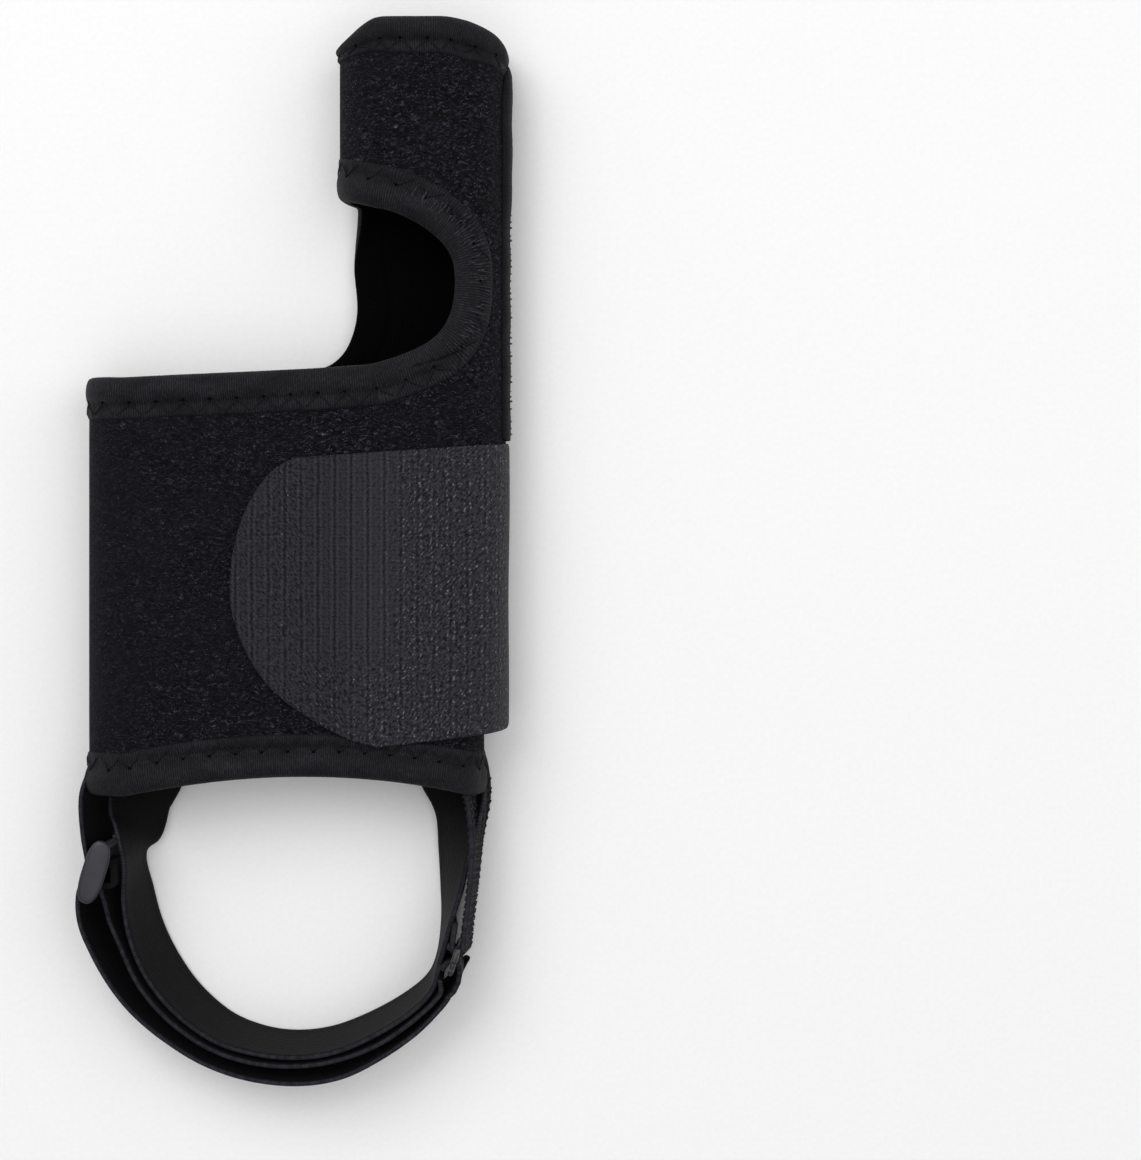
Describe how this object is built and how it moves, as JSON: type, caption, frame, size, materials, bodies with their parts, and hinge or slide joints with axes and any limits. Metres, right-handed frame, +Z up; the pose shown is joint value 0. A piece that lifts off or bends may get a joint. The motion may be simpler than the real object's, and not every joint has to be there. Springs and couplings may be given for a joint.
{
  "type": "foot and toe support brace",
  "caption": "Pull-on soft brace with a wide sleeve, a toe sleeve joined by a cut-out neck, a wrap-over closing tab and an adjustable heel strap.",
  "frame": {"origin": "on the flat back face, 48.5 mm in from the wide sleeve's outer fold and 58.5 mm up from its lower edge", "axes": "+Y along the brace towards the toe sleeve, +X towards the side with the stay, +Z up from the back face through the closing tab"},
  "size_m": [0.1026, 0.2542, 0.0243],
  "materials": {
    "plush": "brushed loop plush over foam, matt black",
    "lining": "smooth knit lining, black",
    "binding": "folded stretch binding with zigzag stitching, black",
    "tab_knit": "ribbed warp-knit loop tape, charcoal",
    "hook_tape": "moulded hook tape, black",
    "webbing": "woven elastic webbing, black",
    "thread": "polyester sewing thread, black",
    "slider_plastic": "moulded acetal, blue-grey, satin",
    "ring_metal": "coated steel wire, black",
    "stay_plastic": "flexible polypropylene strip"
  },
  "bodies": {
    "foot_sleeve": {"foot_front_panel": "plush", "foot_back_panel": "plush", "foot_lining": "lining", "foot_top_binding": "binding", "foot_bottom_binding": "binding", "neck_panel": "plush", "neck_back_binding": "binding", "cutout_binding": "binding", "stay_pocket": "binding", "side_stay": "stay_plastic", "tab_root": "tab_knit", "heel_band_left_end": "webbing", "heel_band_right_end": "webbing", "adjust_strap_end": "webbing", "anchor_strap_end": "webbing", "strap_bar_tacks": "thread"},
    "toe_sleeve": {"toe_front_panel": "plush", "toe_back_panel": "plush", "toe_lining": "lining", "toe_bottom_binding": "binding", "toe_top_binding": "binding"},
    "tab": {"closing_tab": "tab_knit", "hook_patch": "hook_tape"},
    "heel_strap": {"heel_band": "webbing", "heel_band_left_root": "webbing", "heel_band_right_root": "webbing", "adjust_strap": "webbing", "adjust_strap_return": "webbing", "adjust_strap_root": "webbing", "ring_anchor_strap": "webbing", "anchor_strap_root": "webbing"},
    "slider": {"strap_slider": "slider_plastic", "slider_strap_loop": "webbing"},
    "ring": {"strap_ring": "ring_metal"}
  },
  "joints": [
    {"name": "tab_peel", "type": "hinge", "parent": "foot_sleeve", "child": "tab", "pos_m": [0.05205, 0, 0.0225], "axis": [0, 1, 0], "range_deg": [0, 150]},
    {"name": "toe_flex", "type": "hinge", "parent": "foot_sleeve", "child": "toe_sleeve", "pos_m": [0.0314, 0.06275, 0.011], "axis": [1, 0, 0], "range_deg": [-25, 25], "deforming": ["neck_panel", "neck_back_binding", "cutout_binding", "stay_pocket", "side_stay"]},
    {"name": "heel_swing", "type": "hinge", "parent": "foot_sleeve", "child": "heel_strap", "pos_m": [0, -0.059, 0.011], "axis": [1, 0, 0], "range_deg": [-40, 40], "deforming": ["heel_band_left_root", "heel_band_right_root", "adjust_strap_root", "anchor_strap_root"]},
    {"name": "slider_adjust", "type": "slide", "parent": "heel_strap", "child": "slider", "axis": [0, -1, 0], "range_m": [0, 0.006], "deforming": ["adjust_strap_return"]},
    {"name": "ring_tilt", "type": "hinge", "parent": "heel_strap", "child": "ring", "pos_m": [0.04107, -0.0946, 0.011], "axis": [0, 0, 1], "range_deg": [-6, 6]}
  ]
}
